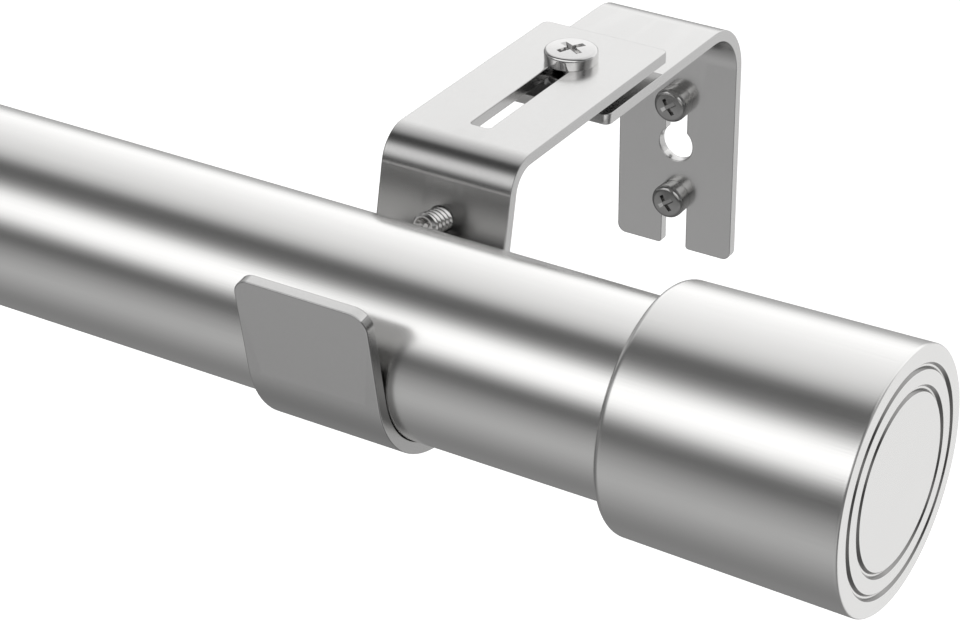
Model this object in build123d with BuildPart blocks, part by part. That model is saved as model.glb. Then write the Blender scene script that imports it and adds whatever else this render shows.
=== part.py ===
from build123d import *
import os
from math import cos, radians, sin, sqrt

os.makedirs("parts", exist_ok=True)

# Frame: the wall is the plane y = 0 and the room lies towards -Y. X runs along the rod, Z is up.
# The origin is midway between the right bracket's two wall screws. All sizes are in millimetres.

# tubes
outer_tube_r = 12.7
tube_wall = 0.6
closed_length = 711.0
tail_to_plug = 12.0
inner_exposed = 84.0
tube_past_bracket = 64.0

# bushes that guide one tube in the other
slide_gap = 0.15
seat_gap = 0.05
bush_wall = 0.8
bush_flange = 2.0
bush_flange_bevel = 0.65
mouth_bush_length = 28.0
mouth_finger_length = 14.0
tail_collar_length = 10.0
tail_collar_bevel = 1.2
tail_spigot_length = 14.0
tail_spigot_wall = 1.75
tail_finger_length = 9.3
bush_slots = 4
bush_slot_w = 2.2

# end caps, their studs and the plugs that take them
cap_length = 31.25
cap_bore_depth = 26.6
cap_bore_gap = 0.25
cap_wall = 2.75
cap_flare = 0.5
cap_rear_round = 1.2
cap_front_bevel = 0.45
groove_insets = (2.6, 5.2)
groove_half_w = 0.45
groove_depth = 0.45
cap_floor_gap = 0.3
stud_r = 3.0
stud_in_cap = 3.0
stud_reach = 12.0
plug_flange = 1.5
plug_length = 15.0
plug_hub_wall = 3.0
plug_rim = 1.4
plug_nose_bevel = 0.7
plug_ribs = 6
plug_rib_w = 1.6
thread_gap = 0.05

# folded strip that both halves of a bracket are made of
strip_t = 1.6

# rod arm: slotted top, sloping leg, cradle and lip
arm_w = 19.1
projection = 78.4
rod_above_screws = 9.25
cradle_gap = 0.1
arm_above_rod = 3.9
arm_rear = 56.1
arm_corner_r = 1.0
arm_bend_r = 5.0
leg_tilt = 12.0
lip_tilt = 10.0
lip_below_rod_top = 1.4
lip_corner_r = 2.4
slot_front = 23.9
slot_rear = 48.9
slot_gap = 0.2
slot_corner_r = 0.6

# wall plate: top leg with a drawn collar, and an upright with a keyhole and an open slot
wall_plate_w = 18.5
wall_leg_front = 40.7
wall_bend_r = 8.2
wall_plate_bottom = 15.8
wall_corner_r = 1.8
leg_corner_r = 1.0
collar_h = 1.6
collar_wall = 1.7
keyhole_gap = 0.1
keyhole_drop = 6.9
neck_gap = 0.2
open_slot_gap = 0.5

# screws
clamp_place = 46.8
clamp_r = 1.3
clamp_head_r = 3.65
clamp_head_h = 1.9
clamp_tail = 2.6
wall_screw_spacing = 15.3
wall_screw_r = 1.5
wall_head_r = 2.55
wall_head_h = 2.8
wall_screw_neck_r = 1.3
wall_screw_bite = 12.0
set_r = 1.7
set_below_rod_top = 5.3
set_head_r = 2.7
set_head_h = 2.2
set_behind = 3.5
set_contact_gap = 0.15
set_point_bevel = 0.9
wall_point_bevel = 1.2
head_bevel = 0.45
recess_share = 0.62
recess_w = 0.2
recess_depth = 0.55
recess_taper = 12
point_chamfer = 0.45

# sizes and places that follow from the ones above
inner_tube_r = outer_tube_r - tube_wall - seat_gap - bush_wall - slide_gap
cap_bore_r = outer_tube_r + cap_bore_gap
cap_rear_r = cap_bore_r + cap_wall
cap_front_r = cap_rear_r + cap_flare
cradle_r = outer_tube_r + cradle_gap
arm_top = outer_tube_r + arm_above_rod
lip_top = outer_tube_r - lip_below_rod_top
set_height = outer_tube_r - set_below_rod_top
collar_r = clamp_r + collar_wall
keyhole_r = wall_head_r + keyhole_gap
rod_z = rod_above_screws
tube_right_x = tube_past_bracket
tube_left_x = tube_right_x - closed_length
outer_length = closed_length - inner_exposed
mouth_x = tube_right_x - outer_length
inner_length = closed_length - plug_length - tail_to_plug - tail_collar_length
tail_x = tube_left_x + inner_length
left_bracket_x = tube_left_x + tube_past_bracket
left_rise = outer_tube_r - inner_tube_r


def export(piece, name):
    piece.part.label = name
    export_step(piece.part, f"parts/{name}.step")


def rod_plane(x, side=1):
    """Plane through the rod's axis at x: local X runs outwards from the rod, local Y is up."""
    return Plane(origin=(x, -projection, rod_z), x_dir=(side, 0, 0), z_dir=(0, -side, 0))


def cross_plane(x, side=1):
    """Plane across the rod at x, facing outwards."""
    return Plane(origin=(x, -projection, rod_z), x_dir=(0, side, 0), z_dir=(side, 0, 0))


def tube(radius, x_left, length):
    with BuildPart() as piece:
        with BuildSketch(cross_plane(x_left)):
            Circle(radius)
            Circle(radius - tube_wall, mode=Mode.SUBTRACT)
        extrude(amount=length)
    return piece


def mouth_bush():
    """Flanged sleeve in the mouth of the outer tube; its split fingers press on the inner tube."""
    bore = inner_tube_r + slide_gap
    with BuildPart() as piece:
        with BuildSketch(cross_plane(mouth_x)):
            Circle(outer_tube_r - tube_wall - seat_gap)
            Circle(bore, mode=Mode.SUBTRACT)
        extrude(amount=mouth_bush_length)
        with BuildSketch(cross_plane(mouth_x, -1)):
            Circle(outer_tube_r)
            Circle(bore, mode=Mode.SUBTRACT)
        extrude(amount=bush_flange)
        with BuildSketch(cross_plane(mouth_x + mouth_bush_length - mouth_finger_length)):
            with PolarLocations(0, bush_slots):
                Rectangle(bush_slot_w, outer_tube_r, align=(Align.CENTER, Align.MIN))
        extrude(amount=mouth_finger_length, mode=Mode.SUBTRACT)
        rim = piece.edges().filter_by(GeomType.CIRCLE).group_by(Axis.X)[0].sort_by(SortBy.RADIUS)[-1]
        chamfer(rim, bush_flange_bevel)
    return piece


def tail_bush():
    """Collar on the inner tube's hidden end that runs in the outer tube, with a split spigot."""
    spigot_r = inner_tube_r - tube_wall - seat_gap
    with BuildPart() as piece:
        with BuildSketch(cross_plane(tail_x)):
            Circle(outer_tube_r - tube_wall - slide_gap)
        extrude(amount=tail_collar_length)
        chamfer(piece.edges().filter_by(GeomType.CIRCLE).group_by(Axis.X)[-1], tail_collar_bevel)
        with BuildSketch(cross_plane(tail_x, -1)):
            Circle(spigot_r)
        extrude(amount=tail_spigot_length)
        with BuildSketch(cross_plane(tail_x + tail_collar_length, -1)):
            Circle(spigot_r - tail_spigot_wall)
        extrude(amount=tail_collar_length + tail_spigot_length, mode=Mode.SUBTRACT)
        with BuildSketch(cross_plane(tail_x - tail_spigot_length)):
            with PolarLocations(0, bush_slots):
                Rectangle(bush_slot_w, outer_tube_r, align=(Align.CENTER, Align.MIN))
        extrude(amount=tail_finger_length, mode=Mode.SUBTRACT)
    return piece


def cap_plug(tube_end, side, tube_r):
    """Ribbed plug in a tube's end, with the tapped hub that takes the cap's stud."""
    outside = tube_r - tube_wall - seat_gap
    with BuildPart() as piece:
        with BuildSketch(cross_plane(tube_end, side)):
            Circle(tube_r)
        extrude(amount=plug_flange)
        with BuildSketch(cross_plane(tube_end, -side)):
            Circle(outside)
            Circle(outside - plug_rim, mode=Mode.SUBTRACT)
            Circle(stud_r + plug_hub_wall)
            with PolarLocations(0, plug_ribs):
                Rectangle(plug_rib_w, outside - plug_rim / 2, align=(Align.CENTER, Align.MIN))
        extrude(amount=plug_length)
        with BuildSketch(cross_plane(tube_end + side * plug_flange, -side)):
            Circle(stud_r + thread_gap)
        extrude(amount=plug_flange + plug_length, mode=Mode.SUBTRACT)
        nose = piece.edges().filter_by(GeomType.CIRCLE).group_by(Axis.X)[0 if side > 0 else -1]
        chamfer(nose.sort_by(SortBy.RADIUS)[-1], plug_nose_bevel)
    return piece


def end_cap(tube_end, side):
    """Tapered cap with a rounded rear edge and two ring grooves in its face."""
    floor = plug_flange + cap_floor_gap
    rear = floor - cap_bore_depth
    face = rear + cap_length
    with BuildPart() as piece:
        with BuildSketch(rod_plane(tube_end, side)) as section:
            with BuildLine():
                Polyline(
                    (rear, cap_bore_r), (rear, cap_rear_r), (face, cap_front_r), (face, 0),
                    (floor, 0), (floor, cap_bore_r), close=True,
                )
            make_face()
            fillet(section.vertices().sort_by_distance((rear, cap_rear_r, 0))[0], cap_rear_round)
            chamfer(section.vertices().sort_by_distance((face, cap_front_r, 0))[0], cap_front_bevel)
            for inset in groove_insets:
                radius = cap_front_r - inset
                with BuildLine():
                    Polyline(
                        (face, radius - groove_half_w), (face - groove_depth, radius),
                        (face, radius + groove_half_w), close=True,
                    )
                make_face(mode=Mode.SUBTRACT)
        revolve(axis=Axis((tube_end, -projection, rod_z), (side, 0, 0)))
        with BuildSketch(cross_plane(tube_end + side * floor, side)):
            Circle(stud_r)
        extrude(amount=stud_in_cap, mode=Mode.SUBTRACT)
    return piece


def cap_stud(tube_end, side):
    """Threaded stud pressed in the cap's floor, drawn at its thread's outer diameter."""
    root = tube_end + side * (plug_flange + cap_floor_gap + stud_in_cap)
    with BuildPart() as piece:
        with BuildSketch(cross_plane(root, -side)):
            Circle(stud_r)
        extrude(amount=stud_in_cap + stud_reach)
        tip = piece.edges().filter_by(GeomType.CIRCLE).group_by(Axis.X)[0 if side > 0 else -1]
        chamfer(tip, point_chamfer)
    return piece


def cap_sleeve(tube_end):
    """Reducing sleeve that brings the inner tube's end up to the cap's bore."""
    length = cap_bore_depth - plug_flange - cap_floor_gap
    with BuildPart() as piece:
        with BuildSketch(cross_plane(tube_end)):
            Circle(outer_tube_r)
            Circle(inner_tube_r + seat_gap, mode=Mode.SUBTRACT)
        extrude(amount=length)
        chamfer(piece.edges().filter_by(GeomType.CIRCLE).group_by(Axis.X)[0].sort_by(SortBy.RADIUS)[-1],
                point_chamfer)
    return piece


def side_plane(x, rise):
    """Plane across the bracket at x, seen from +X: local X points to the wall and local Y is up."""
    return Plane(origin=(x, -projection, rod_z + rise), x_dir=(0, 1, 0), z_dir=(1, 0, 0))


def rod_arm(x, rise):
    """One folded strip: slotted top, sloping tapped leg, cradle round the rod and rising lip."""
    mid_r = cradle_r + strip_t / 2
    leg, lip = radians(leg_tilt), radians(lip_tilt)
    lip_length = (lip_top + mid_r * sin(lip)) / cos(lip)
    lip_foot = (-mid_r * cos(lip), -mid_r * sin(lip))
    lip_end = (lip_foot[0] - lip_length * sin(lip), lip_top)
    leg_foot = (mid_r * cos(leg), -mid_r * sin(leg))
    top = arm_top - strip_t / 2
    knee = (leg_foot[0] + (top - leg_foot[1]) * sin(leg) / cos(leg), top)
    with BuildPart() as piece:
        with BuildSketch(side_plane(x, rise)):
            with BuildLine() as fold:
                Polyline(leg_foot, knee, (arm_rear, top))
                fillet(fold.vertices().sort_by_distance((*knee, 0))[0], arm_bend_r - strip_t / 2)
                ThreePointArc(lip_foot, (0, -mid_r), leg_foot)
                Line(lip_end, lip_foot)
            trace(line_width=strip_t)
        extrude(amount=arm_w / 2, both=True)
        fillet(piece.edges().filter_by(Axis.Z).group_by(Axis.Y)[-1], arm_corner_r)
        lip_corner = (-projection + lip_end[0], rod_z + rise + lip_top)
        lip_edges = [
            piece.edges().sort_by_distance((x + half * arm_w / 2, *lip_corner))[0] for half in (-1, 1)
        ]
        fillet(lip_edges, lip_corner_r)
        with BuildSketch(Plane.XY.offset(rod_z + rise + arm_top)):
            with Locations((x, -projection + (slot_front + slot_rear) / 2)):
                RectangleRounded(2 * (clamp_r + slot_gap), slot_rear - slot_front, slot_corner_r)
        extrude(amount=-strip_t, mode=Mode.SUBTRACT)
        with BuildSketch(set_plane(x, rise)):
            Circle(set_r + thread_gap)
        extrude(amount=strip_t, both=True, mode=Mode.SUBTRACT)
    return piece


def set_plane(x, rise):
    """Plane on the leg's rod side at the set screw, facing away from the rod, square to the leg."""
    leg = radians(leg_tilt)
    out = cradle_r / cos(leg) + set_height * sin(leg) / cos(leg)
    origin = (x, -projection + out, rod_z + rise + set_height)
    return Plane(origin=origin, x_dir=(1, 0, 0), z_dir=(0, cos(leg), -sin(leg)))


def set_reach(tube_r, rise):
    """How far the round point of the set screw stands out of the leg when it meets the tube."""
    leg = radians(leg_tilt)
    out = cradle_r / cos(leg) + set_height * sin(leg) / cos(leg)
    up = set_height + rise
    along = out * cos(leg) - up * sin(leg)
    beside = out * sin(leg) + up * cos(leg)
    return along - sqrt((tube_r + set_contact_gap + set_r) ** 2 - beside**2) + set_r


def wall_plate(x, rise):
    """One folded strip: a top leg with a drawn collar, and an upright that hangs on two screws."""
    leg_top = rod_z + rise + arm_top - strip_t - collar_h
    middle = leg_top - strip_t / 2
    upright = -strip_t / 2
    bottom = rise - wall_plate_bottom
    with BuildPart() as piece:
        with BuildSketch(Plane(origin=(x, 0, 0), x_dir=(0, 1, 0), z_dir=(1, 0, 0))):
            with BuildLine() as fold:
                Polyline((-projection + wall_leg_front, middle), (upright, middle), (upright, bottom))
                fillet(fold.vertices().sort_by_distance((upright, middle, 0))[0],
                       wall_bend_r - strip_t / 2)
            trace(line_width=strip_t)
        extrude(amount=wall_plate_w / 2, both=True)
        fillet(piece.edges().filter_by(Axis.Y).group_by(Axis.Z)[0], wall_corner_r)
        fillet(piece.edges().filter_by(Axis.Z).group_by(Axis.Y)[0], leg_corner_r)
        with BuildSketch(Plane.XY.offset(leg_top - strip_t)):
            with Locations((x, -projection + clamp_place)):
                Circle(collar_r)
        extrude(amount=strip_t + collar_h)
        with BuildSketch(Plane.XY.offset(leg_top - strip_t)):
            with Locations((x, -projection + clamp_place)):
                Circle(clamp_r + thread_gap)
        extrude(amount=strip_t + collar_h, mode=Mode.SUBTRACT)
        upper = rise + wall_screw_spacing / 2
        lower = rise - wall_screw_spacing / 2
        neck_r = wall_screw_r + neck_gap
        open_slot_r = wall_screw_r + open_slot_gap
        with BuildSketch(Plane.XZ):
            with Locations((x, upper)):
                Circle(neck_r)
                Rectangle(2 * neck_r, keyhole_drop, align=(Align.CENTER, Align.MAX))
            with Locations((x, upper - keyhole_drop)):
                Circle(keyhole_r)
            with Locations((x, lower)):
                Circle(open_slot_r)
                Rectangle(2 * open_slot_r, lower - bottom, align=(Align.CENTER, Align.MAX))
        extrude(amount=strip_t, mode=Mode.SUBTRACT)
    return piece


def pan_screw(head_plane, head_r, head_h, shank_r, shank, tip_bevel):
    """Pan head screw: head_plane lies under the head and faces along its axis, away from the shank."""
    with BuildPart() as piece:
        with BuildSketch(head_plane):
            Circle(head_r)
        extrude(amount=head_h)
        top = piece.edges().filter_by(GeomType.CIRCLE).sort_by(Axis(head_plane.origin, head_plane.z_dir))[-1]
        chamfer(top, head_bevel)
        with BuildSketch(head_plane.offset(head_h)):
            for turn in (45, 135):
                with Locations(Location((0, 0, 0), (0, 0, turn))):
                    Rectangle(2 * head_r * recess_share, head_r * recess_w * 2)
        extrude(amount=-head_h * recess_depth, taper=recess_taper, mode=Mode.SUBTRACT)
        with BuildSketch(head_plane):
            Circle(shank_r)
        extrude(amount=-shank)
        tip = piece.edges().filter_by(GeomType.CIRCLE).sort_by(Axis(head_plane.origin, head_plane.z_dir))[0]
        chamfer(tip, tip_bevel)
    return piece


def clamp_screw(x, rise):
    place = Vector(x, -projection + clamp_place, rod_z + rise + arm_top)
    shank = strip_t + collar_h + strip_t + clamp_tail
    head_plane = Plane(origin=place, x_dir=(1, 0, 0), z_dir=(0, 0, 1))
    return pan_screw(head_plane, clamp_head_r, clamp_head_h, clamp_r, shank, point_chamfer)


def set_screw(x, rise, tube_r):
    leg_face = set_plane(x, rise)
    head_plane = leg_face.offset(strip_t + set_behind)
    shank = strip_t + set_behind + set_reach(tube_r, rise)
    return pan_screw(head_plane, set_head_r, set_head_h, set_r, shank, set_point_bevel)


def wall_screw(x, height):
    """Pan head screw with a plain neck where the plate hangs on it."""
    head_plane = Plane(origin=(x, -strip_t, height), x_dir=(1, 0, 0), z_dir=(0, -1, 0))
    shank = strip_t + wall_screw_bite
    with BuildPart() as piece:
        add(pan_screw(head_plane, wall_head_r, wall_head_h, wall_screw_r, shank, wall_point_bevel))
        with BuildSketch(head_plane):
            Circle(wall_screw_r)
            Circle(wall_screw_neck_r, mode=Mode.SUBTRACT)
        extrude(amount=-strip_t, mode=Mode.SUBTRACT)
    return piece


export(tube(outer_tube_r, mouth_x, outer_length), "outer_tube")
export(tube(inner_tube_r, tube_left_x, inner_length), "inner_tube")
export(mouth_bush(), "mouth_bush")
export(tail_bush(), "tail_bush")
export(cap_sleeve(tube_left_x), "cap_sleeve")

ends = (("right", tube_right_x, 1, outer_tube_r), ("left", tube_left_x, -1, inner_tube_r))
for name, tube_end, side, tube_r in ends:
    export(end_cap(tube_end, side), f"end_cap_{name}")
    export(cap_stud(tube_end, side), f"cap_stud_{name}")
    export(cap_plug(tube_end, side, tube_r), f"cap_plug_{name}")

brackets = (("right", 0.0, 0.0, outer_tube_r), ("left", left_bracket_x, left_rise, inner_tube_r))
for name, x, rise, tube_r in brackets:
    export(rod_arm(x, rise), f"rod_arm_{name}")
    export(wall_plate(x, rise), f"wall_plate_{name}")
    export(clamp_screw(x, rise), f"clamp_screw_{name}")
    export(set_screw(x, rise, tube_r), f"set_screw_{name}")
    export(wall_screw(x, rise + wall_screw_spacing / 2), f"wall_screw_upper_{name}")
    export(wall_screw(x, rise - wall_screw_spacing / 2), f"wall_screw_lower_{name}")
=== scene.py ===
import math

import bmesh
import bpy
from mathutils import Matrix, Vector
from mathutils.geometry import tessellate_polygon


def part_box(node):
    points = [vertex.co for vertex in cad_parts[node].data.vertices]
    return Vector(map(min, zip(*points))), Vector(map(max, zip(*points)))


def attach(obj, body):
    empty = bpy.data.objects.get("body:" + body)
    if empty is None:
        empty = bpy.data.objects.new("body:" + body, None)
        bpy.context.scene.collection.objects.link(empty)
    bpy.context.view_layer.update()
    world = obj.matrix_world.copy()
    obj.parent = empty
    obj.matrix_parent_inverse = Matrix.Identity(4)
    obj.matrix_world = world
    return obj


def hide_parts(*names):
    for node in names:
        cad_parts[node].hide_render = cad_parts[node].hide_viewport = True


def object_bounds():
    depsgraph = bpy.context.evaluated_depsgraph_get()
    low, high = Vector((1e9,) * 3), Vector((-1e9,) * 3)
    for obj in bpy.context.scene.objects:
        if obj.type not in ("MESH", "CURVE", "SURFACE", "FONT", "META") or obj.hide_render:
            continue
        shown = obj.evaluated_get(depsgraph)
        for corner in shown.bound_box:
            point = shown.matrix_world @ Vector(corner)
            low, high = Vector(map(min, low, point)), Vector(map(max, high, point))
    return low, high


mm = 0.001

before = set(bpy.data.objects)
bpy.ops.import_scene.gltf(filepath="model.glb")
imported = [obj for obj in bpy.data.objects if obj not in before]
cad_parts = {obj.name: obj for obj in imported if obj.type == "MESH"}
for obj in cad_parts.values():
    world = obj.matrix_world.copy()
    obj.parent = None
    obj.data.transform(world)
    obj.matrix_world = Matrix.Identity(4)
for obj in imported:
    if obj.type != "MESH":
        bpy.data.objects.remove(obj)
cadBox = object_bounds()
print("frame loaded:", len(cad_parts), "nodes")


# places read from the frame

def boxMiddle(node, axis):
    low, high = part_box(node)
    return (low[axis] + high[axis]) / 2


def boxSize(node, axis):
    low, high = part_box(node)
    return high[axis] - low[axis]


rodY = boxMiddle("outer_tube", 1)
rodZ = boxMiddle("outer_tube", 2)
outerR = boxSize("outer_tube", 2) / 2
innerR = boxSize("inner_tube", 2) / 2
bracketX = {side: boxMiddle(f"rod_arm_{side}", 0) for side in ("right", "left")}
bracketRise = {"right": 0.0, "left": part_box("wall_plate_left")[0][2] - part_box("wall_plate_right")[0][2]}


# mesh helpers

near = 1e-7  # points closer than this are one
arcStep = math.radians(9)  # of rounded corners
shearShare = 0.7  # an outline's stretch counts as sheared where its direction runs along the strip this much


def roundCorners(corners, closed=True):  # corners: (x, y, radius)
    points = []
    count = len(corners)
    for i, (x, y, radius) in enumerate(corners):
        here = Vector((x, y))
        if radius <= 0 or (not closed and i in (0, count - 1)):
            points.append(here)
            continue
        before = (Vector(corners[i - 1][:2]) - here).normalized()
        after = (Vector(corners[(i + 1) % count][:2]) - here).normalized()
        half = before.angle(after) / 2
        reach = radius / math.tan(half)
        centre = here + (before + after).normalized() * (radius / math.sin(half))
        start = here + before * reach - centre
        end = here + after * reach - centre
        turn = start.angle_signed(end)  # clockwise is positive
        steps = max(3, round(abs(turn) / arcStep))
        for k in range(steps + 1):
            points.append(centre + Matrix.Rotation(-turn * k / steps, 2) @ start)
    return points


def addObject(name, bm, sharpAngle=35):
    mesh = bpy.data.meshes.new(name)
    bm.to_mesh(mesh)
    bm.free()
    mesh.polygons.foreach_set("use_smooth", [True] * len(mesh.polygons))
    mesh.set_sharp_from_angle(angle=math.radians(sharpAngle))
    obj = bpy.data.objects.new(name, mesh)
    bpy.context.scene.collection.objects.link(obj)
    return obj


def evenNormals(obj):
    weighted = obj.modifiers.new("evenNormals", "WEIGHTED_NORMAL")
    weighted.keep_sharp = True
    weighted.weight = 60


def latheMesh(bm, profile, place, segments):
    # profile: (along, radius) points, turned about the local Z of the matrix called place
    rings = []
    for along, radius in profile:
        if radius < near:
            rings.append([bm.verts.new(place @ Vector((0, 0, along)))])
            continue
        ring = []
        for k in range(segments):
            a = 2 * math.pi * k / segments
            ring.append(bm.verts.new(place @ Vector((radius * math.cos(a), radius * math.sin(a), along))))
        rings.append(ring)
    for one, two in zip(rings, rings[1:]):
        for k in range(segments):
            n = (k + 1) % segments
            corners = [one[k % len(one)], one[n % len(one)], two[n % len(two)], two[k % len(two)]]
            unique = list(dict.fromkeys(corners))
            if len(unique) > 2:
                bm.faces.new(unique)
    bmesh.ops.recalc_face_normals(bm, faces=bm.faces)


def axisMatrix(origin, direction):
    turn = Vector(direction).to_track_quat("Z", "X").to_matrix().to_4x4()
    return Matrix.Translation(origin) @ turn


def closedLathe(section, place, segments):
    # solid turned from a closed section of (along, radius) points
    bm = bmesh.new()
    latheMesh(bm, [(p.x, max(0.0, p.y)) for p in section + section[:1]], place, segments)
    bmesh.ops.remove_doubles(bm, verts=bm.verts, dist=near)
    bmesh.ops.recalc_face_normals(bm, faces=bm.faces)
    return bm


def foldPath(start, heading, moves):
    # moves: ("run", length) or ("bend", radius, turn); positive turns are to the left
    pieces = []
    travelled = 0.0
    point = Vector(start)
    for move in moves:
        forward = Vector((math.cos(heading), math.sin(heading)))
        left = Vector((-forward.y, forward.x))
        if move[0] == "run":
            pieces.append((travelled, travelled + move[1], point.copy(), heading, 0.0))
            point = point + forward * move[1]
            travelled += move[1]
        else:
            radius, turn = move[1:]
            sign = 1 if turn > 0 else -1
            centre = point + left * radius * sign
            pieces.append((travelled, travelled + radius * abs(turn), centre, heading, radius * sign))
            heading += turn
            forward = Vector((math.cos(heading), math.sin(heading)))
            point = centre - Vector((-forward.y, forward.x)) * radius * sign
            travelled += radius * abs(turn)

    def at(s, height):
        # point of the folded strip: s along its middle, height towards its left face
        for first, last, base, angle, radius in pieces:
            if s <= last or last == travelled:
                break
        if radius:
            angle = angle + (s - first) / radius
            return base + Vector((-math.sin(angle), math.cos(angle))) * (height - radius)
        forward = Vector((math.cos(angle), math.sin(angle)))
        return base + forward * (s - first) + Vector((-forward.y, forward.x)) * height

    bends = [(first, last) for first, last, base, angle, radius in pieces if radius]
    return at, bends, travelled


def blankMesh(loops, thickness, edgeRound, edgeSteps):
    # flat blank in X (across) and Y (along), with the outline first and then its holes; sheared sides take slot 1
    bm = bmesh.new()
    broad = bm.faces.layers.int.new("broad")
    rings = []
    levels = []
    for side in (-1, 1):
        for k in range(edgeSteps + 1):
            a = math.pi / 2 * (k if side > 0 else edgeSteps - k) / edgeSteps
            inset = edgeRound * (1 - math.cos(a))
            levels.append((inset, side * (thickness / 2 - edgeRound + edgeRound * math.sin(a))))
    for loop in loops:
        area = sum(a.x * b.y - a.y * b.x for a, b in zip(loop, loop[1:] + loop[:1]))
        isHole = loop is not loops[0]
        inward = (1 if area > 0 else -1) * (-1 if isHole else 1)
        normals = []
        count = len(loop)
        for i, p in enumerate(loop):
            one = (p - loop[i - 1]).normalized()
            two = (loop[(i + 1) % count] - p).normalized()
            side = (Vector((-one.y, one.x)) + Vector((-two.y, two.x))).normalized()
            stretch = 1 / max(0.3, side.dot(Vector((-one.y, one.x))))  # held in at sharp corners
            normals.append(side * inward * stretch)
        rings.append([
            [bm.verts.new((p.x + n.x * inset, p.y + n.y * inset, z)) for p, n in zip(loop, normals)]
            for inset, z in levels
        ])
    for which, levelsOfLoop in enumerate(rings):
        for k, (one, two) in enumerate(zip(levelsOfLoop, levelsOfLoop[1:])):
            for i in range(len(one)):
                n = (i + 1) % len(one)
                face = bm.faces.new([one[i], one[n], two[n], two[i]])
                alongShare = abs((loops[which][n] - loops[which][i]).normalized().y)
                isSheared = alongShare > shearShare and 0 < k < len(levelsOfLoop) - 2
                face.material_index = 1 if isSheared else 0
    for end in (0, -1):
        capLoops = [[v.co.copy() for v in levelsOfLoop[end]] for levelsOfLoop in rings]
        flatVerts = [v for levelsOfLoop in rings for v in levelsOfLoop[end]]
        for triangle in tessellate_polygon(capLoops):
            bm.faces.new([flatVerts[i] for i in triangle])[broad] = 1
    bmesh.ops.recalc_face_normals(bm, faces=bm.faces)
    return bm


stripLook = {"thick": 1.6 * mm, "edgeRound": 0.16 * mm, "edgeSteps": 3}


def foldedStrip(name, loops, path, place, bendSteps, shadedFaces):
    # path: as foldPath gives it; shadedFaces: (from, to, side) stretches that take darker metal as painted shade,
    # slot 2, where side 0 is the sheared sides
    at, bends = path[:2]
    bm = blankMesh(loops, stripLook["thick"], stripLook["edgeRound"], stripLook["edgeSteps"])
    cuts = {end for low, high, side in shadedFaces for end in (low, high)}
    for (first, last), steps in zip(bends, bendSteps):
        cuts.update(first + (last - first) * k / steps for k in range(steps + 1))
    for s in sorted(cuts):
        geometry = list(bm.verts) + list(bm.edges) + list(bm.faces)
        bmesh.ops.bisect_plane(bm, geom=geometry, plane_co=(0, s, 0), plane_no=(0, 1, 0), dist=near)
    bm.normal_update()
    slack, flat = 10 * near, 0.999  # flat: of a broad face's normal
    slanted = [edge for edge in bm.edges  # leaves whole quads across the strip in each bend
               if abs(edge.verts[0].co.y - edge.verts[1].co.y) > slack
               and any(all(first - slack < v.co.y < last + slack for v in edge.verts) for first, last in bends)
               and all(abs(face.normal.z) > flat for face in edge.link_faces)]
    bmesh.ops.dissolve_edges(bm, edges=slanted, use_verts=True)
    # painted shade: the listed stretches take the darker metal of slot 2
    for face in bm.faces:
        middle = face.calc_center_median()
        for low, high, side in shadedFaces:
            isOnSide = middle.z * side > 0 if side else True
            if low < middle.y < high and face.material_index == (0 if side else 1) and isOnSide:
                face.material_index = 2
    for vert in bm.verts:
        side = at(vert.co.y, vert.co.z)
        vert.co = place + Vector((vert.co.x, side.x, side.y))
    bmesh.ops.recalc_face_normals(bm, faces=bm.faces)
    broad = bm.faces.layers.int["broad"]
    bm.edges.index_update()
    rims = [edge.index for edge in bm.edges if len({face[broad] for face in edge.link_faces}) == 2]
    obj = addObject(name, bm)
    for index in rims:  # the broad faces keep flat shading right up to the rounded edges
        obj.data.edges[index].use_edge_sharp = True
    evenNormals(obj)
    return obj


threadLook = {"depth": 0.58, "crest": 0.16, "root": 0.88, "segments": 40}  # depth: share of the pitch


def threadMesh(bm, radius, pitch, start, end, place, stepsPerTurn, fadeTurns):
    # helical thread from start to end along the local Z of place, fading out at both ends
    depth, segments = pitch * threadLook["depth"], threadLook["segments"]
    crest, root = threadLook["crest"], threadLook["root"]
    rows = max(4, round((end - start) / pitch * stepsPerTurn))
    rings = []
    for row in range(rows + 1):
        along = start + (end - start) * row / rows
        fade = min(1.0, min(row, rows - row) / (stepsPerTurn * fadeTurns))
        ring = []
        for k in range(segments):
            a = 2 * math.pi * k / segments
            phase = (along / pitch - k / segments) % 1.0
            groove = 1 - abs(2 * phase - 1)
            flank = min(1.0, max(0.0, (groove - crest) / (root - crest)))
            r = radius - depth * flank * fade
            ring.append(bm.verts.new(place @ Vector((r * math.cos(a), r * math.sin(a), along))))
        rings.append(ring)
    for one, two in zip(rings, rings[1:]):
        for k in range(segments):
            n = (k + 1) % segments
            bm.faces.new([one[k], one[n], two[n], two[k]])
    return rings[0], rings[-1]


# materials

def newGroup(name, inputs, outputs):
    group = bpy.data.node_groups.new(name, "ShaderNodeTree")
    for socket, kind, value in inputs:
        made = group.interface.new_socket(name=socket, in_out="INPUT", socket_type=kind)
        made.default_value = value
    for socket, kind in outputs:
        group.interface.new_socket(name=socket, in_out="OUTPUT", socket_type=kind)
    return group, group.nodes.new("NodeGroupInput"), group.nodes.new("NodeGroupOutput")


def mathNode(nodes, links, kind, a, b):
    node = nodes.new("ShaderNodeMath")
    node.operation = kind
    for socket, value in zip(node.inputs, (a, b)):
        if isinstance(value, (int, float)):
            socket.default_value = value
        else:
            links.new(value, socket)
    return node.outputs[0]


grainLook = {"lineDetail": 2.0, "lineShare": 0.7, "patchScale": 180.0, "patchDetail": 4.0, "patchShare": 0.3}


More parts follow.
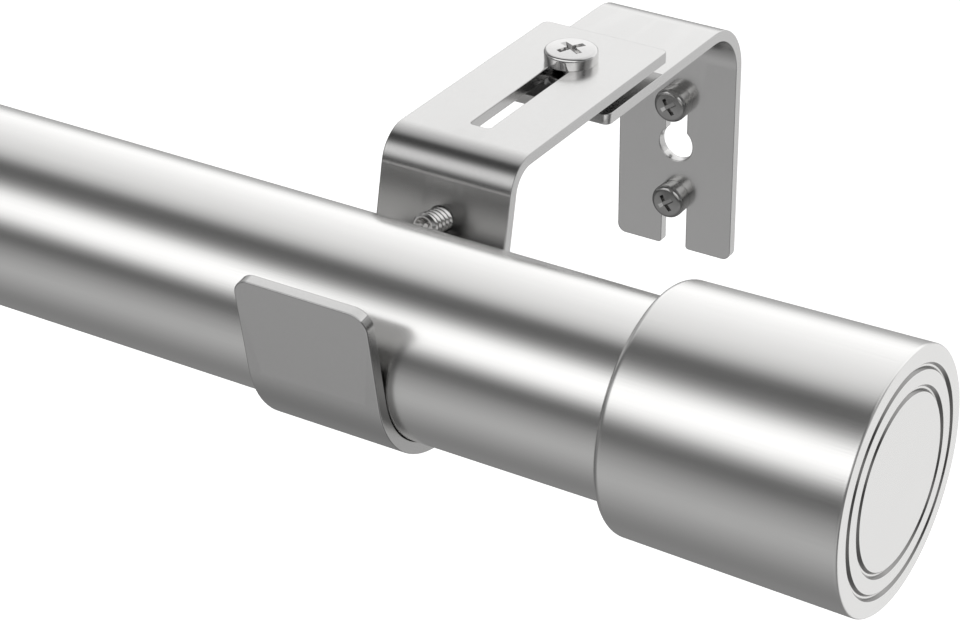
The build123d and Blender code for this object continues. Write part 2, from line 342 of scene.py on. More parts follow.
def buildSatinGrain():
    # fine lines of the satin finish, with slow patches; Height for a bump, Rough for roughness
    group, given, made = newGroup(
        "satinGrain",
        [("Along", "NodeSocketFloat", 60.0), ("Across", "NodeSocketFloat", 6000.0),
         ("Rough Base", "NodeSocketFloat", 0.25), ("Rough Spread", "NodeSocketFloat", 0.05),
         ("Colour A", "NodeSocketColor", (0.8, 0.8, 0.8, 1)), ("Colour B", "NodeSocketColor", (0.7, 0.7, 0.7, 1))],
        [("Rough", "NodeSocketFloat"), ("Height", "NodeSocketFloat"), ("Colour", "NodeSocketColor")],
    )
    nodes, links = group.nodes, group.links
    place = nodes.new("ShaderNodeTexCoord").outputs["Object"]
    stretch = nodes.new("ShaderNodeCombineXYZ")
    links.new(given.outputs["Along"], stretch.inputs["X"])
    links.new(given.outputs["Across"], stretch.inputs["Y"])
    links.new(given.outputs["Across"], stretch.inputs["Z"])
    scaled = nodes.new("ShaderNodeVectorMath")
    scaled.operation = "MULTIPLY"
    links.new(place, scaled.inputs[0])
    links.new(stretch.outputs[0], scaled.inputs[1])
    lines = nodes.new("ShaderNodeTexNoise")
    lines.inputs["Scale"].default_value = 1.0
    lines.inputs["Detail"].default_value = grainLook["lineDetail"]
    links.new(scaled.outputs[0], lines.inputs["Vector"])
    patches = nodes.new("ShaderNodeTexNoise")
    patches.inputs["Scale"].default_value = grainLook["patchScale"]
    patches.inputs["Detail"].default_value = grainLook["patchDetail"]
    links.new(place, patches.inputs["Vector"])
    lineHeight = mathNode(nodes, links, "MULTIPLY", lines.outputs["Fac"], grainLook["lineShare"])
    patchHeight = mathNode(nodes, links, "MULTIPLY", patches.outputs["Fac"], grainLook["patchShare"])
    both = mathNode(nodes, links, "ADD", lineHeight, patchHeight)
    swing = mathNode(nodes, links, "SUBTRACT", both, 0.5)
    spread = mathNode(nodes, links, "MULTIPLY", swing, given.outputs["Rough Spread"])
    links.new(mathNode(nodes, links, "ADD", given.outputs["Rough Base"], spread), made.inputs["Rough"])
    links.new(both, made.inputs["Height"])
    mix = nodes.new("ShaderNodeMix")
    mix.data_type = "RGBA"
    links.new(both, mix.inputs["Factor"])
    links.new(given.outputs["Colour A"], mix.inputs["A"])
    links.new(given.outputs["Colour B"], mix.inputs["B"])
    links.new(mix.outputs["Result"], made.inputs["Colour"])
    return group


def buildBendShade():
    # painted shade: a darker tone over a stretch of Y, standing in for the dimmer reflections over the arm's bend
    group, given, made = newGroup(
        "bendShade",
        [("Colour", "NodeSocketColor", (0.8, 0.8, 0.8, 1)), ("Tone", "NodeSocketFloat", 0.6),
         ("Back", "NodeSocketFloat", 0.0), ("Front", "NodeSocketFloat", -0.01), ("Fade", "NodeSocketFloat", 0.003)],
        [("Colour", "NodeSocketColor")],
    )
    nodes, links = group.nodes, group.links
    split = nodes.new("ShaderNodeSeparateXYZ")
    links.new(nodes.new("ShaderNodeTexCoord").outputs["Object"], split.inputs[0])
    inside = []
    for one, two in ((given.outputs["Back"], split.outputs["Y"]), (split.outputs["Y"], given.outputs["Front"])):
        step = nodes.new("ShaderNodeMapRange")
        step.interpolation_type = "SMOOTHSTEP"
        links.new(mathNode(nodes, links, "SUBTRACT", one, two), step.inputs["Value"])
        links.new(given.outputs["Fade"], step.inputs["From Max"])
        inside.append(step.outputs["Result"])
    share = mathNode(nodes, links, "MULTIPLY", *inside)
    drop = mathNode(nodes, links, "MULTIPLY", share, mathNode(nodes, links, "SUBTRACT", 1.0, given.outputs["Tone"]))
    scale = nodes.new("ShaderNodeVectorMath")
    scale.operation = "SCALE"
    links.new(given.outputs["Colour"], scale.inputs[0])
    links.new(mathNode(nodes, links, "SUBTRACT", 1.0, drop), scale.inputs["Scale"])
    links.new(scale.outputs["Vector"], made.inputs["Colour"])
    return group


satinGrain = buildSatinGrain()
bendShade = buildBendShade()


def satinMetal(name, look):
    material = bpy.data.materials.new(name)
    material.use_nodes = True
    nodes, links = material.node_tree.nodes, material.node_tree.links
    shader = nodes["Principled BSDF"]
    shader.inputs["Metallic"].default_value = look["metallic"]
    grain = nodes.new("ShaderNodeGroup")
    grain.node_tree = satinGrain
    grain.inputs["Along"].default_value = look["along"]
    grain.inputs["Across"].default_value = look["across"]
    grain.inputs["Rough Base"].default_value = look["rough"]
    grain.inputs["Rough Spread"].default_value = look["roughSpread"]
    grain.inputs["Colour A"].default_value = (*look["bright"], 1)
    grain.inputs["Colour B"].default_value = (*look["dull"], 1)
    links.new(grain.outputs["Rough"], shader.inputs["Roughness"])
    colour = grain.outputs["Colour"]
    # painted shade over the arm's bend, where the look asks for it
    if "bend" in look:
        toned = nodes.new("ShaderNodeGroup")
        toned.node_tree = bendShade
        for socket, value in look["bend"].items():
            toned.inputs[socket].default_value = value
        links.new(colour, toned.inputs["Colour"])
        colour = toned.outputs["Colour"]
    links.new(colour, shader.inputs["Base Color"])
    bump = nodes.new("ShaderNodeBump")
    bump.inputs["Strength"].default_value = look["bump"]
    bump.inputs["Distance"].default_value = look["bumpDepth"]
    links.new(grain.outputs["Height"], bump.inputs["Height"])
    links.new(bump.outputs["Normal"], shader.inputs["Normal"])
    return material


finishes = {
    # along, across: grain lines for each metre of the object's X, and of its Y and Z
    "rodNickel": {
        "metallic": 1.0, "rough": 0.24, "roughSpread": 0.06, "along": 40.0, "across": 7000.0,
        "bright": (0.90, 0.895, 0.885), "dull": (0.86, 0.855, 0.845), "bump": 0.08, "bumpDepth": 0.02 * mm},
    # darker metal as painted shade in the cap's grooves
    "grooveShadeNickel": {
        "metallic": 1.0, "rough": 0.20, "roughSpread": 0.06, "along": 40.0, "across": 7000.0,
        "bright": (0.34, 0.337, 0.332), "dull": (0.28, 0.277, 0.272), "bump": 0.08, "bumpDepth": 0.02 * mm},
    "bracketNickel": {
        "metallic": 1.0, "rough": 0.22, "roughSpread": 0.06, "along": 3000.0, "across": 3000.0,
        "bright": (0.74, 0.736, 0.73), "dull": (0.68, 0.676, 0.67), "bump": 0.06, "bumpDepth": 0.02 * mm},
    # darker metal as painted shade, on faces under the arm, facing the rod and round the clamp screw
    "paintedShadeMetal": {
        "metallic": 1.0, "rough": 0.25, "roughSpread": 0.08, "along": 2500.0, "across": 4000.0,
        "bright": (0.39, 0.388, 0.384), "dull": (0.34, 0.338, 0.334), "bump": 0.08, "bumpDepth": 0.02 * mm},
    "armEdge": {
        "metallic": 1.0, "rough": 0.24, "roughSpread": 0.10, "along": 2500.0, "across": 5000.0,
        "bright": (0.58, 0.577, 0.573), "dull": (0.48, 0.477, 0.473), "bump": 0.10, "bumpDepth": 0.03 * mm},
    "plateEdge": {
        "metallic": 1.0, "rough": 0.26, "roughSpread": 0.10, "along": 2500.0, "across": 5000.0,
        "bright": (0.62, 0.616, 0.611), "dull": (0.53, 0.526, 0.521), "bump": 0.10, "bumpDepth": 0.03 * mm},
    "clampChrome": {
        "metallic": 1.0, "rough": 0.09, "roughSpread": 0.05, "along": 4000.0, "across": 4000.0,
        "bright": (0.76, 0.755, 0.75), "dull": (0.66, 0.655, 0.65), "bump": 0.08, "bumpDepth": 0.02 * mm},
    "screwSteel": {
        "metallic": 1.0, "rough": 0.11, "roughSpread": 0.06, "along": 4000.0, "across": 4000.0,
        "bright": (0.60, 0.595, 0.59), "dull": (0.52, 0.515, 0.51), "bump": 0.08, "bumpDepth": 0.02 * mm},
    "darkSteel": {
        "metallic": 1.0, "rough": 0.12, "roughSpread": 0.06, "along": 4000.0, "across": 4000.0,
        "bright": (0.43, 0.427, 0.423), "dull": (0.36, 0.357, 0.353), "bump": 0.08, "bumpDepth": 0.02 * mm},
    "bushPlastic": {
        "metallic": 0.0, "rough": 0.45, "roughSpread": 0.12, "along": 2500.0, "across": 2500.0,
        "bright": (0.80, 0.80, 0.78), "dull": (0.74, 0.74, 0.72), "bump": 0.12, "bumpDepth": 0.03 * mm},
}
# the arm has the plate's finish, with painted shade over its bend
bendShadeLook = {"Tone": 0.64, "Back": rodY + 20.4 * mm, "Front": rodY + 12.4 * mm, "Fade": 2.6 * mm}
finishes["armNickelBendShade"] = {**finishes["bracketNickel"], "bend": bendShadeLook}
looks = {name: satinMetal(name, finish) for name, finish in finishes.items()}


def dress(obj, slot, *lookNames):
    materials = obj.data.materials
    if len(materials):  # clear also puts every face back on slot 0
        materials.clear()
    for lookName in lookNames:
        materials.append(looks[lookName])


print("materials built:", len(looks))


# tubes

tubeLook = {"wall": 0.6 * mm, "rimRound": 0.12 * mm, "segments": 160}


def buildTube(name, node, body, radius):
    low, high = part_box(node)
    length = high[0] - low[0]
    inside = radius - tubeLook["wall"]
    rim = tubeLook["rimRound"]
    section = roundCorners([(0, radius, rim), (length, radius, rim), (length, inside, rim), (0, inside, rim)])
    obj = addObject(name, closedLathe(section, axisMatrix((low[0], rodY, rodZ), (1, 0, 0)), tubeLook["segments"]))
    evenNormals(obj)
    dress(obj, "rod_nickel", "rodNickel")
    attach(obj, body)
    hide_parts(node)


buildTube("outerTube", "outer_tube", "rod_outer", outerR)
buildTube("innerTube", "inner_tube", "rod_inner", innerR)
print("tubes built")


# end caps

capLook = {
    "rearR": 15.7 * mm, "frontR": 16.2 * mm, "boreGap": 0.25 * mm, "boreDepth": 26.6 * mm,
    "rearRound": 1.2 * mm, "frontRound": 0.45 * mm,
    "grooveRadii": (13.6 * mm, 11.0 * mm), "grooveHalf": 0.42 * mm, "grooveDeep": 0.42 * mm,
    "grooveFloor": 0.3, "grooveLipRound": 0.08 * mm, "grooveFootRound": 0.12 * mm,  # floor: share of the half width
    "flankSlope": 0.9, "segments": 192,
}


def capSection():
    length = boxSize("end_cap_right", 0)
    bore = outerR + capLook["boreGap"]
    half, floor, deep = capLook["grooveHalf"], capLook["grooveFloor"] * capLook["grooveHalf"], capLook["grooveDeep"]
    lip, foot = capLook["grooveLipRound"], capLook["grooveFootRound"]
    corners = [(0, bore, 0), (0, capLook["rearR"], capLook["rearRound"]),
               (length, capLook["frontR"], capLook["frontRound"])]
    for radius in capLook["grooveRadii"]:
        corners += [(length, radius + half, lip), (length - deep, radius + floor, foot),
                    (length - deep, radius - floor, foot), (length, radius - half, lip)]
    corners += [(length, 0, 0), (capLook["boreDepth"], 0, 0), (capLook["boreDepth"], bore, 0)]
    return roundCorners(corners, closed=False)


def buildCap(side, direction):
    low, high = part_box(f"end_cap_{side}")
    rear = low[0] if direction > 0 else high[0]
    bm = closedLathe(capSection(), axisMatrix((rear, rodY, rodZ), (direction, 0, 0)), capLook["segments"])
    front = rear + direction * boxSize(f"end_cap_{side}", 0)
    for face in bm.faces:  # the grooves' flanks take darker metal, painted shade in the grooves
        middle = face.calc_center_median()
        offset = math.hypot(middle.y - rodY, middle.z - rodZ)
        isInGroove = any(abs(offset - radius) < capLook["grooveHalf"] for radius in capLook["grooveRadii"])
        isSteep = abs(face.normal.x) < capLook["flankSlope"]
        if isInGroove and isSteep and abs(middle.x - front) < capLook["grooveDeep"]:
            face.material_index = 1
    obj = addObject(f"endCap{side.capitalize()}", bm)
    evenNormals(obj)
    dress(obj, "cap_nickel", "rodNickel", "grooveShadeNickel")
    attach(obj, f"cap_{side}")
    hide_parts(f"end_cap_{side}")


for side, direction in (("right", 1), ("left", -1)):
    buildCap(side, direction)
print("end caps built")


# brackets

armLook = {
    "width": 19.1 * mm, "cradleGap": 0.1 * mm, "top": 16.6 * mm, "rear": 56.1 * mm, "rearCorner": 1.0 * mm,
    "bendR": 5.0 * mm, "legTilt": math.radians(12), "lipTilt": math.radians(10), "lipTop": 11.3 * mm,
    "lipCorner": 2.4 * mm, "slotFront": 23.9 * mm, "slotRear": 48.9 * mm, "slotWidth": 3.0 * mm,
    "slotCorner": 0.6 * mm, "setHeight": 7.4 * mm, "setHoleR": 1.75 * mm, "bendSteps": (40, 16),
}


def angleSteps(first, last, steps):
    return [first + (last - first) * k / steps for k in range(steps + 1)]


def circleLoop(x, y, radius):
    angles = angleSteps(0, 2 * math.pi, 40)[:-1]
    return [Vector((x + radius * math.cos(a), y + radius * math.sin(a))) for a in angles]


def armPath():  # the strip's middle line seen from the right, and where its leg starts
    look = armLook
    midR = outerR + look["cradleGap"] + stripLook["thick"] / 2
    lip, leg = look["lipTilt"], look["legTilt"]
    lipRun = (look["lipTop"] + midR * math.sin(lip)) / math.cos(lip)
    start = (-midR * math.cos(lip) - lipRun * math.sin(lip), look["lipTop"])
    topMid = look["top"] - stripLook["thick"] / 2
    knee = topMid + midR * math.sin(leg)
    kneeTurn = math.pi / 2 - leg
    bendR = look["bendR"] - stripLook["thick"] / 2
    tangent = bendR * math.tan(kneeTurn / 2)
    legRun = knee / math.cos(leg) - tangent
    kneeY = midR * math.cos(leg) + knee * math.tan(leg)
    path = foldPath(start, lip - math.pi / 2, [
        ("run", lipRun),
        ("bend", midR, math.pi - lip - leg),
        ("run", legRun),
        ("bend", bendR, -kneeTurn),
        ("run", look["rear"] - kneeY - tangent),
    ])
    return path, lipRun + midR * (math.pi - lip - leg)


def buildArm(side, body):
    look = armLook
    path, legStart = armPath()
    bends, length = path[1:]
    half = look["width"] / 2
    outline = roundCorners([(-half, 0, look["lipCorner"]), (half, 0, look["lipCorner"]),
                            (half, length, look["rearCorner"]), (-half, length, look["rearCorner"])])
    slotW = look["slotWidth"] / 2
    slotStart = length - (look["rear"] - look["slotFront"])
    slotEnd = length - (look["rear"] - look["slotRear"])
    slot = roundCorners([(-slotW, slotStart, look["slotCorner"]), (slotW, slotStart, look["slotCorner"]),
                         (slotW, slotEnd, look["slotCorner"]), (-slotW, slotEnd, look["slotCorner"])])
    lean = look["legTilt"]
    setAlong = legStart + look["setHeight"] / math.cos(lean) + (outerR + look["cradleGap"]) * math.tan(lean)
    setHole = circleLoop(0, setAlong, look["setHoleR"])
    place = Vector((bracketX[side], rodY, rodZ + bracketRise[side]))
    # painted shade: the inner face of the lip, cradle and leg, the lip's and cradle's sheared sides, and the top's
    # underside
    obj = foldedStrip(f"rodArm{side.capitalize()}", [outline, slot, setHole], path, place, look["bendSteps"],
                      [(0, legStart, 0), (0, bends[1][0], 1), (bends[1][1], length, -1)])
    dress(obj, "bracket_nickel", "armNickelBendShade", "armEdge", "paintedShadeMetal")
    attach(obj, body)
    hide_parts(f"rod_arm_{side}")


plateLook = {
    "width": 18.5 * mm, "legFront": 40.7 * mm, "bendR": 8.2 * mm, "bottom": 15.8 * mm, "cornerR": 1.3 * mm,
    "legCornerR": 1.0 * mm, "bendSteps": (18,), "covered": 14.5 * mm,  # of the top leg, always under the arm, where its top face takes painted shade
    "screwSpacing": 15.3 * mm, "keyholeR": 2.65 * mm, "keyholeDrop": 6.9 * mm, "neckW": 3.4 * mm,
    "openSlotW": 4.0 * mm, "slotMouthR": 0.5 * mm, "clampPlace": 46.8 * mm,
    "collarH": 1.6 * mm, "collarR": 3.0 * mm, "collarHoleR": 1.35 * mm, "collarRound": 0.3 * mm,
    "collarFoot": 0.5 * mm, "collarFootRound": 0.4 * mm, "collarSunk": 0.2 * mm, "collarSegments": 96,
}


def buildPlate(side, body):
    look = plateLook
    thick = stripLook["thick"]
    topMid = rodZ + armLook["top"] - thick - look["collarH"] - thick / 2
    bend = look["bendR"] - thick / 2
    topRun = -thick / 2 - (rodY + look["legFront"]) - bend
    bottomRun = topMid - bend + look["bottom"]
    path = foldPath((rodY + look["legFront"], topMid), 0.0,
                    [("run", topRun), ("bend", bend, -math.pi / 2), ("run", bottomRun)])
    length = path[2]
    half = look["width"] / 2

    def along(height):  # place on the blank of a height on the upright
        return length - (height + look["bottom"])

    neck, slotHalf = look["neckW"] / 2, look["openSlotW"] / 2
    upper, lower = look["screwSpacing"] / 2, -look["screwSpacing"] / 2
    halfTurn = angleSteps(0, math.pi, 16)
    slotTop = [Vector((slotHalf * math.cos(a), along(lower) - slotHalf * math.sin(a))) for a in halfTurn]
    mouth = look["slotMouthR"]
    outline = roundCorners([
        (-slotHalf, along(lower), 0), (-slotHalf, length, mouth), (-half, length, look["cornerR"]),
        (-half, 0, look["legCornerR"]), (half, 0, look["legCornerR"]), (half, length, look["cornerR"]),
        (slotHalf, length, mouth), (slotHalf, along(lower), 0)], closed=False) + slotTop[1:-1]
    entry = math.asin(neck / look["keyholeR"])
    keyR, keyMiddle = look["keyholeR"], along(upper - look["keyholeDrop"])
    keyRound = [Vector((keyR * math.sin(a), keyMiddle - keyR * math.cos(a)))
                for a in angleSteps(entry, 2 * math.pi - entry, 36)]
    neckTop = [Vector((-neck * math.cos(a), along(upper) - neck * math.sin(a))) for a in halfTurn]
    place = Vector((bracketX[side], 0, bracketRise[side]))
    collarHole = circleLoop(0, look["clampPlace"] - look["legFront"], look["collarHoleR"])
    # painted shade on the top leg's top face, under the arm
    obj = foldedStrip(f"wallPlate{side.capitalize()}", [outline, keyRound + neckTop, collarHole], path, place,
                      look["bendSteps"], [(0, look["covered"], 1)])
    dress(obj, "bracket_nickel", "bracketNickel", "plateEdge", "paintedShadeMetal")
    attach(obj, body)
    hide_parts(f"wall_plate_{side}")
    buildCollar(side, body)


def buildCollar(side, body):  # drawn up out of the plate's top leg, with the clamp screw's thread in it
    look = plateLook
    rise, hole, wide = look["collarH"], look["collarHoleR"], look["collarR"]
    edge, spread, soft, sunk = look["collarRound"], look["collarFoot"], look["collarFootRound"], look["collarSunk"]
    foot = rodZ + bracketRise[side] + armLook["top"] - stripLook["thick"] - rise
    section = roundCorners([(-sunk, hole, 0), (rise, hole, edge / 2), (rise, wide, edge), (spread, wide, soft),
                            (0, wide + spread, 0), (-sunk, wide + spread, 0)])
    place = axisMatrix((bracketX[side], rodY + look["clampPlace"], foot), (0, 0, 1))
    obj = addObject(f"plateCollar{side.capitalize()}", closedLathe(section, place, look["collarSegments"]))
    evenNormals(obj)
    # the whole collar takes painted shade, under the arm
    dress(obj, "bracket_nickel", "paintedShadeMetal")
    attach(obj, body)


for side, armBody, plateBody in (("right", "rod_outer", "wall_right"), ("left", "rod_inner", "wall_left")):
    buildArm(side, armBody)
    buildPlate(side, plateBody)
print("brackets built")


# screws

screwLooks = {
    # tip: (millimetres before the end, radius) points; the set screw's ends in a cup
    # thread: steps for each turn, and turns over which it fades out
    "clamp": {
        "look": "clampChrome", "headR": 3.65 * mm, "headH": 1.9 * mm, "headRound": 0.5 * mm, "crown": 0.2 * mm,
        "shankR": 1.3 * mm, "neckR": 1.3 * mm, "neck": 0.2 * mm, "pitch": 0.5 * mm, "thread": (10, 1.0),
        "tip": ((0.45, 1.3), (0.18, 1.16), (0, 0.85)), "recessTurn": 62, "recessShare": 0.36,
        "past": 2.6 * mm,  # below the plate
    },
    "set": {
        "look": "screwSteel", "headR": 2.7 * mm, "headH": 2.2 * mm, "headRound": 0.5 * mm, "crown": 0.2 * mm,
        "shankR": 1.7 * mm, "neckR": 1.7 * mm, "neck": 0.2 * mm, "pitch": 0.85 * mm, "thread": (20, 0.15),
        "tip": ((0.35, 1.7), (0.05, 1.45), (0, 1.4), (0, 1.2), (0.7, 0.3)), "recessTurn": 20, "recessShare": 0.5,
        "stand": 3.5 * mm, "gap": 0.15 * mm,  # head off the leg, tip off the tube
    },
    "wall": {
        "look": "darkSteel", "headR": 2.55 * mm, "headH": 2.8 * mm, "headRound": 0.8 * mm, "crown": 0.35 * mm,
        "shankR": 1.5 * mm, "neckR": 1.3 * mm, "neck": 1.6 * mm, "pitch": 1.3 * mm, "thread": (12, 1.0),
        "tip": ((1.2, 1.5), (0.48, 0.98), (0, 0.3)), "recessTurn": 35, "recessShare": 0.22,
        "bite": 12 * mm,
    },
}
recessLook = {
    "reach": 0.62, "half": 0.13,  # shares of the head's radius
    "topShare": 1.08, "footShare": 0.55, "steady": 0.4,  # taper; steady: share of the width that doesn't taper
    "above": 0.2 * mm,
}
headLook = {"underStep": 0.05 * mm, "underRound": 0.04 * mm, "sink": 0.1 * mm, "segments": 96, "sharpAngle": 32}


def recessWing(bm, reach, half, depth, top, turn):
    # one tapered slot of the cross recess, from above the head down to its depth
    spin = Matrix.Rotation(turn, 4, "Z")
    levels = ((top + recessLook["above"], recessLook["topShare"]), (top - depth, recessLook["footShare"]))
    steady = recessLook["steady"]
    rings = []
    for height, share in levels:
        width = half * (steady + (1 - steady) * share)
        rings.append([bm.verts.new(spin @ Vector((x * reach * share, y * width, height)))
                      for x, y in ((-1, -1), (1, -1), (1, 1), (-1, 1))])
    for i in range(4):
        n = (i + 1) % 4
        bm.faces.new([rings[0][i], rings[0][n], rings[1][n], rings[1][i]])
    bm.faces.new(rings[0][::-1])
    bm.faces.new(rings[1])
    bmesh.ops.recalc_face_normals(bm, faces=bm.faces)


def cutAway(obj, build):
    # takes the solid that build draws out of obj
    bm = bmesh.new()
    build(bm)
    cutter = addObject("cutter", bm)
    cut = obj.modifiers.new("cut", "BOOLEAN")
    cut.operation, cut.solver, cut.object = "DIFFERENCE", "EXACT", cutter
    made = bpy.data.meshes.new_from_object(obj.evaluated_get(bpy.context.evaluated_depsgraph_get()))
    obj.modifiers.clear()
    obj.data = made
    bpy.data.objects.remove(cutter)


def buildScrew(name, node, body, place, length, look):
    headR, headH, neck = look["headR"], look["headH"], look["neck"]
    section = roundCorners([(0, 0, 0), (0, headR - headLook["underStep"], headLook["underRound"]),
                            (headH - look["crown"], headR, look["headRound"]), (headH, 0, 0)], closed=False)
    bm = bmesh.new()
    latheMesh(bm, [(p.x, max(0.0, p.y)) for p in section], Matrix(), headLook["segments"])
    head = addObject(name, bm)
    reach, half, depth = headR * recessLook["reach"], headR * recessLook["half"], headH * look["recessShare"]
    for k in (0, 1):
        turn = math.radians(look["recessTurn"] + 90 * k)
        cutAway(head, lambda bm: recessWing(bm, reach, half, depth, headH, turn))
    bm = bmesh.new()
    bm.from_mesh(head.data)
    down = Matrix.Rotation(math.pi, 4, "X")
    tip = [(length - before * mm, radius * mm) for before, radius in look["tip"]]
    first, last = threadMesh(bm, look["shankR"], look["pitch"], neck, tip[0][0], down, *look["thread"])
    closeEnd(bm, first, down, [(neck, look["neckR"]), (-headLook["sink"], look["neckR"])])
    closeEnd(bm, last, down, tip[1:])
    bmesh.ops.recalc_face_normals(bm, faces=bm.faces)
    bm.transform(place)
    bpy.data.objects.remove(head)
    screw = addObject(name, bm, headLook["sharpAngle"])
    evenNormals(screw)
    dress(screw, "screw_chrome", look["look"])
    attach(screw, body)
    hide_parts(node)


def closeEnd(bm, ring, place, steps):
    # carries an open ring of the thread on through (along, radius) steps and closes it
    count = len(ring)
    angles = [2 * math.pi * k / count for k in range(count)]
    for along, radius in steps:
        new = [bm.verts.new(place @ Vector((radius * math.cos(a), radius * math.sin(a), along))) for a in angles]
        for k in range(count):
            n = (k + 1) % count
            bm.faces.new([ring[k], ring[n], new[n], new[k]])
        ring = new
    bm.faces.new(ring)


def setScrewPlace(side):
    # foot of the head on the set screw's axis, and the length of its shank
    look = armLook
    lean = look["legTilt"]
    out = (outerR + look["cradleGap"]) / math.cos(lean) + look["setHeight"] * math.tan(lean)
    direction = Vector((0, math.cos(lean), -math.sin(lean)))
    stand = stripLook["thick"] + screwLooks["set"]["stand"]
    foot = Vector((bracketX[side], rodY + out, rodZ + bracketRise[side] + look["setHeight"])) + direction * stand
    shank = screwLooks["set"]["shankR"]
    tubeR = {"right": outerR, "left": innerR}[side]
    up = look["setHeight"] + bracketRise[side]
    along = out * math.cos(lean) - up * math.sin(lean)
    beside = out * math.sin(lean) + up * math.cos(lean)
    reach = along - math.sqrt((tubeR + screwLooks["set"]["gap"] + shank) ** 2 - beside ** 2) + shank
    return axisMatrix(foot, direction), stand + reach


for side, armBody, plateBody in (("right", "rod_outer", "wall_right"), ("left", "rod_inner", "wall_left")):
    x, rise, label = bracketX[side], bracketRise[side], side.capitalize()
    clampFoot = (x, rodY + plateLook["clampPlace"], rodZ + rise + armLook["top"])
    clampLength = 2 * stripLook["thick"] + plateLook["collarH"] + screwLooks["clamp"]["past"]
    buildScrew(f"clampScrew{label}", f"clamp_screw_{side}", f"clamp_{side}", axisMatrix(clampFoot, (0, 0, 1)),
               clampLength, screwLooks["clamp"])
    setPlace, setLength = setScrewPlace(side)
    buildScrew(f"setScrew{label}", f"set_screw_{side}", f"set_{side}", setPlace, setLength, screwLooks["set"])
    for level, sign in (("upper", 1), ("lower", -1)):
        foot = (x, -stripLook["thick"], rise + sign * plateLook["screwSpacing"] / 2)
        buildScrew(f"wallScrew{level.capitalize()}{label}", f"wall_screw_{level}_{side}", plateBody,
                   axisMatrix(foot, (0, -1, 0)), stripLook["thick"] + screwLooks["wall"]["bite"], screwLooks["wall"])
print("screws built")


# plastic pieces and studs keep their solids

for node in ("mouth_bush", "tail_bush", "cap_sleeve", "cap_plug_right", "cap_plug_left"):
    dress(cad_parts[node], None, "bushPlastic")
for node in ("cap_stud_right", "cap_stud_left"):
    dress(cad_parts[node], None, "screwSteel")


# camera

cameraLook = {
    "place": (181.97 * mm, -344.87 * mm, 193.95 * mm),
    "turn": (60.371, 0.378, 31.874),  # degrees
    "lens": 113.28, "sensor": 36, "nearest": 10 * mm,
}
camera = bpy.data.cameras.new("camera")
camera.lens = cameraLook["lens"]
camera.sensor_width = cameraLook["sensor"]
camera.clip_start = cameraLook["nearest"]
cameraObject = bpy.data.objects.new("camera", camera)
cameraObject.location = cameraLook["place"]
cameraObject.rotation_euler = [math.radians(a) for a in cameraLook["turn"]]
bpy.context.scene.collection.objects.link(cameraObject)
bpy.context.scene.camera = cameraObject


# studio: a bright room whose bands of light and dark the metal shows

studio = {
    # angle above the floor seen from the front, through overhead (90) to the back (180): brightness
    "bands": [(-180, 0.45), (-146, 0.25), (-110, 0.24), (-90, 0.22), (-72, 0.28), (-55, 0.38), (-40, 0.46),
              (-26, 0.39), (-13, 0.27), (-3, 0.12), (6, 0.10), (14, 0.40), (24, 1.05), (37, 1.30), (48, 1.04),
              (57, 0.44), (66, 0.14), (75, 0.08), (84, 0.11), (92, 0.49), (105, 0.77), (122, 0.90),
              (150, 1.09), (165, 1.17), (178, 0.72)],
    "peak": 1.5,  # the bands' ramp holds no more than 1, so it is drawn smaller by this
    # pale card that the cap's face shows, and the darker ends of the room: each from its first value to its second
    "panelTowards": (0.46, 0.74, -0.49), "panel": 0.86, "panelEdge": (0.68, 0.88),
    "endWalls": 0.12, "endShare": 0.72, "endEdge": (0.62, 0.82),
    "background": 1.0, "floorDrop": 0.35, "floorSize": 8.0, "floorPaint": 0.9, "floorGlow": 0.6,
}


def stepRange(nodes, links, value, edge, most=1.0):
    node = nodes.new("ShaderNodeMapRange")
    node.interpolation_type = "SMOOTHSTEP"
    node.inputs["From Min"].default_value, node.inputs["From Max"].default_value = edge
    node.inputs["To Max"].default_value = most
    links.new(value, node.inputs["Value"])
    return node.outputs["Result"]


def mixGrey(nodes, links, share, colour, grey):
    node = nodes.new("ShaderNodeMix")
    node.data_type = "RGBA"
    links.new(share, node.inputs["Factor"])
    links.new(colour, node.inputs["A"])
    node.inputs["B"].default_value = (grey, grey, grey, 1)
    return node.outputs["Result"]


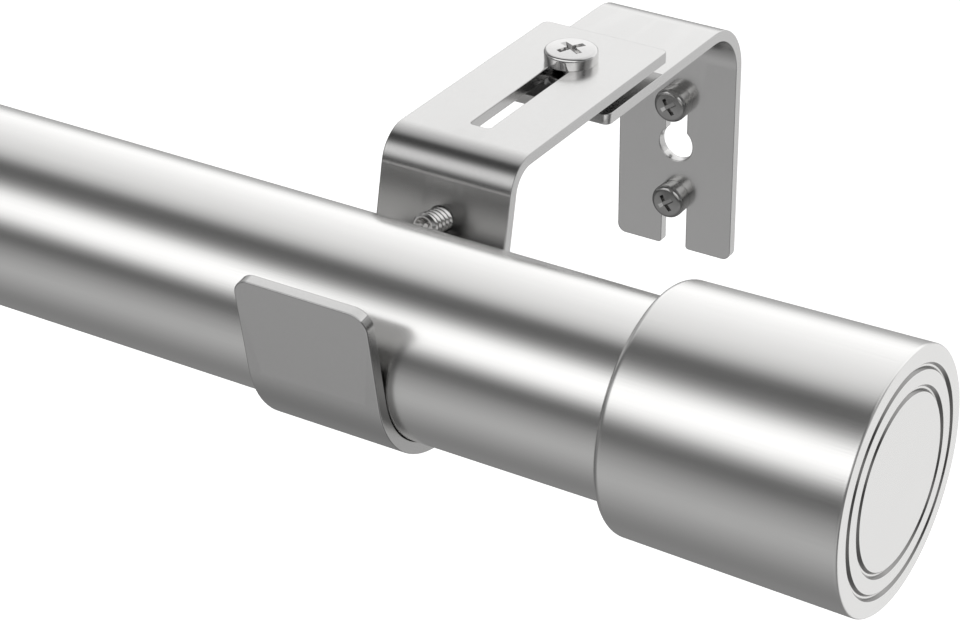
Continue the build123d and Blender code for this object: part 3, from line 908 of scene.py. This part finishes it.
def buildWorld():
    world = bpy.data.worlds.new("studio")
    bpy.context.scene.world = world
    world.use_nodes = True
    nodes, links = world.node_tree.nodes, world.node_tree.links
    background = nodes["Background"]
    direction = nodes.new("ShaderNodeTexCoord").outputs["Generated"]
    split = nodes.new("ShaderNodeSeparateXYZ")
    links.new(direction, split.inputs[0])
    front = mathNode(nodes, links, "MULTIPLY", split.outputs["Y"], -1.0)
    angle = mathNode(nodes, links, "ARCTAN2", split.outputs["Z"], front)
    share = mathNode(nodes, links, "ADD", mathNode(nodes, links, "DIVIDE", angle, 2 * math.pi), 0.5)
    ramp = nodes.new("ShaderNodeValToRGB")
    ramp.color_ramp.interpolation = "CARDINAL"
    stops = ramp.color_ramp.elements
    bands = studio["bands"]
    while len(stops) < len(bands):
        stops.new(0.5)
    for stop, (degrees, value) in zip(stops, bands):
        stop.position = (degrees + 180) / 360
        stop.color = (value / studio["peak"],) * 3 + (1,)
    links.new(share, ramp.inputs["Fac"])
    raised = nodes.new("ShaderNodeVectorMath")
    raised.operation = "SCALE"
    raised.inputs["Scale"].default_value = studio["peak"]
    links.new(ramp.outputs["Color"], raised.inputs[0])
    towards = nodes.new("ShaderNodeVectorMath")
    towards.operation = "DOT_PRODUCT"
    links.new(direction, towards.inputs[0])
    towards.inputs[1].default_value = studio["panelTowards"]
    sideways = mathNode(nodes, links, "ABSOLUTE", split.outputs["X"], 0)
    wallShare = stepRange(nodes, links, sideways, studio["endEdge"], studio["endShare"])
    walls = mixGrey(nodes, links, wallShare, raised.outputs["Vector"], studio["endWalls"])
    panelShare = stepRange(nodes, links, towards.outputs["Value"], studio["panelEdge"])
    withPanel = mixGrey(nodes, links, panelShare, walls, studio["panel"])
    cameraRay = nodes.new("ShaderNodeLightPath").outputs["Is Camera Ray"]
    seen = mixGrey(nodes, links, cameraRay, withPanel, studio["background"])
    links.new(seen, background.inputs["Color"])


def buildFloor():
    half = studio["floorSize"] / 2
    height = cadBox[0][2] - studio["floorDrop"]
    bm = bmesh.new()
    bm.faces.new([bm.verts.new((x * half, y * half, height)) for x, y in ((-1, -1), (1, -1), (1, 1), (-1, 1))])
    floor = addObject("floor", bm)
    material = bpy.data.materials.new("paleFloor")
    material.use_nodes = True
    nodes, links = material.node_tree.nodes, material.node_tree.links
    shader = nodes["Principled BSDF"]
    shader.inputs["Base Color"].default_value = (studio["floorPaint"],) * 3 + (1,)
    shader.inputs["Roughness"].default_value = 0.9
    shader.inputs["Emission Color"].default_value = (1, 1, 1, 1)
    shader.inputs["Emission Strength"].default_value = studio["floorGlow"]
    oneSided = nodes.new("ShaderNodeMixShader")  # clear from below, for a look at the underside
    links.new(nodes.new("ShaderNodeNewGeometry").outputs["Backfacing"], oneSided.inputs["Fac"])
    links.new(shader.outputs["BSDF"], oneSided.inputs[1])
    links.new(nodes.new("ShaderNodeBsdfTransparent").outputs["BSDF"], oneSided.inputs[2])
    links.new(oneSided.outputs["Shader"], nodes["Material Output"].inputs["Surface"])
    floor.data.materials.append(material)
    floor.visible_glossy = False


buildWorld()
buildFloor()
bpy.context.scene.view_settings.view_transform = "Standard"
print("studio built")
